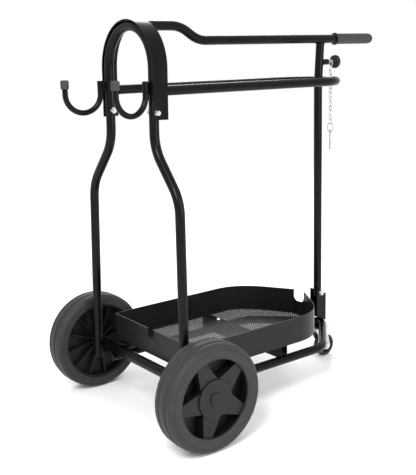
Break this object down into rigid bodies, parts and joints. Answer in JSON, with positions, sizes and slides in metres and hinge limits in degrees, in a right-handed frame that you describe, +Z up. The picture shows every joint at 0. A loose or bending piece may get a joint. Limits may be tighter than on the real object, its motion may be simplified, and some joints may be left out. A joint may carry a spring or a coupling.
{
  "type": "folding saddle trolley",
  "caption": "Folding two-wheeled saddle trolley: leaning arch with bridle hooks, saddle rails with handle, perforated grooming tray, folding post and small swivel caster.",
  "frame": {"origin": "on the ground, under the middle of the whole object's box", "axes": "+X from the bridle hooks to the handle, +Y to the right of the person pushing, +Z up"},
  "size_m": [0.903, 0.56, 0.93],
  "materials": {
    "gloss_black_powder_coat": "gloss black powder coat",
    "tyre_rubber": "satin dark grey solid rubber",
    "black_plastic": "moulded satin black",
    "bright_zinc": "bright zinc plate",
    "grip_rubber": "matte dark grey grip rubber"
  },
  "bodies": {
    "arch": {"arch_frame": "gloss_black_powder_coat", "leg_plugs": "black_plastic", "axle_lugs": "gloss_black_powder_coat", "axle_rod": "bright_zinc", "axle_spacers": "bright_zinc", "axle_clips": "bright_zinc", "hook_left": "gloss_black_powder_coat", "hook_right": "gloss_black_powder_coat", "hook_cap_left": "grip_rubber", "hook_cap_right": "grip_rubber", "hook_plate_left": "gloss_black_powder_coat", "hook_plate_right": "gloss_black_powder_coat", "strap_bolts": "bright_zinc", "strap_nuts": "bright_zinc"},
    "wheel_left": {"tyre_left": "tyre_rubber", "rim_left": "black_plastic", "wheel_sleeve_left": "black_plastic", "hub_cap_left": "black_plastic"},
    "wheel_right": {"tyre_right": "tyre_rubber", "rim_right": "black_plastic", "wheel_sleeve_right": "black_plastic", "hub_cap_right": "black_plastic"},
    "base": {"base_axle_tube": "gloss_black_powder_coat", "base_bushes": "black_plastic", "base_frame_tube": "gloss_black_powder_coat", "base_plugs": "black_plastic", "base_support_front": "gloss_black_powder_coat", "base_support_rear": "gloss_black_powder_coat", "tray_wall": "gloss_black_powder_coat", "tray_floor": "gloss_black_powder_coat", "tray_screws": "bright_zinc", "tray_nuts": "bright_zinc", "post_bracket": "gloss_black_powder_coat", "pivot_bolt": "bright_zinc", "pivot_nut": "bright_zinc", "caster_plate": "bright_zinc", "caster_kingpin": "bright_zinc"},
    "caster": {"caster_fork": "bright_zinc", "caster_axle_bolt": "bright_zinc", "caster_axle_nut": "bright_zinc"},
    "caster_wheel": {"caster_tread": "tyre_rubber", "caster_hub": "black_plastic"},
    "post": {"rear_post": "gloss_black_powder_coat", "post_plug": "black_plastic"},
    "saddle": {"saddle_strap": "gloss_black_powder_coat", "saddle_rails": "gloss_black_powder_coat", "rail_crossbar": "gloss_black_powder_coat", "handle_bar": "gloss_black_powder_coat", "handle_grip": "grip_rubber", "post_stub": "gloss_black_powder_coat", "clamp_boss": "gloss_black_powder_coat"},
    "clamp": {"clamp_screw": "bright_zinc"},
    "knob": {"clamp_knob": "black_plastic"},
    "chain": {"chain_hanger": "bright_zinc", "chain_links": "bright_zinc", "pin_ring": "bright_zinc", "locking_pin": "bright_zinc"}
  },
  "joints": [
    {"name": "wheel_left_spin", "type": "hinge", "parent": "arch", "child": "wheel_left", "pos_m": [-0.3265, -0.248, 0.125], "axis": [0, 1, 0], "continuous": true},
    {"name": "wheel_right_spin", "type": "hinge", "parent": "arch", "child": "wheel_right", "pos_m": [-0.3265, 0.248, 0.125], "axis": [0, 1, 0], "continuous": true},
    {"name": "base_fold", "type": "hinge", "parent": "arch", "child": "base", "pos_m": [-0.3265, 0, 0.125], "axis": [0, -1, 0], "range_deg": [0, 90]},
    {"name": "post_fold", "type": "hinge", "parent": "base", "child": "post", "pos_m": [0.2495, 0, 0.191], "axis": [0, -1, 0], "range_deg": [0, 90]},
    {"name": "caster_swivel", "type": "hinge", "parent": "base", "child": "caster", "pos_m": [0.2525, 0, 0.08], "axis": [0, 0, 1], "continuous": true},
    {"name": "caster_roll", "type": "hinge", "parent": "caster", "child": "caster_wheel", "pos_m": [0.2745, 0, 0.031], "axis": [0, 1, 0], "continuous": true},
    {"name": "saddle_lift", "type": "hinge", "parent": "arch", "child": "saddle", "pos_m": [-0.33585, 0, 0.729], "axis": [0, -1, 0], "range_deg": [0, 3]},
    {"name": "clamp_travel", "type": "slide", "parent": "saddle", "child": "clamp", "axis": [1, 0, 0], "range_m": [0, 0.00375]},
    {"name": "knob_turn", "type": "hinge", "parent": "clamp", "child": "knob", "pos_m": [0.3125, 0, 0.823], "axis": [-1, 0, 0], "range_deg": [0, 1080]},
    {"name": "chain_swing", "type": "hinge", "parent": "clamp", "child": "chain", "pos_m": [0.2965, 0, 0.823], "axis": [1, 0, 0], "range_deg": [-70, 70]}
  ],
  "couplings": [
    {"joint": "post_fold", "follows": "base_fold", "ratio": 1},
    {"joint": "knob_turn", "follows": "clamp_travel", "rad_per_m": 5026.5}
  ]
}
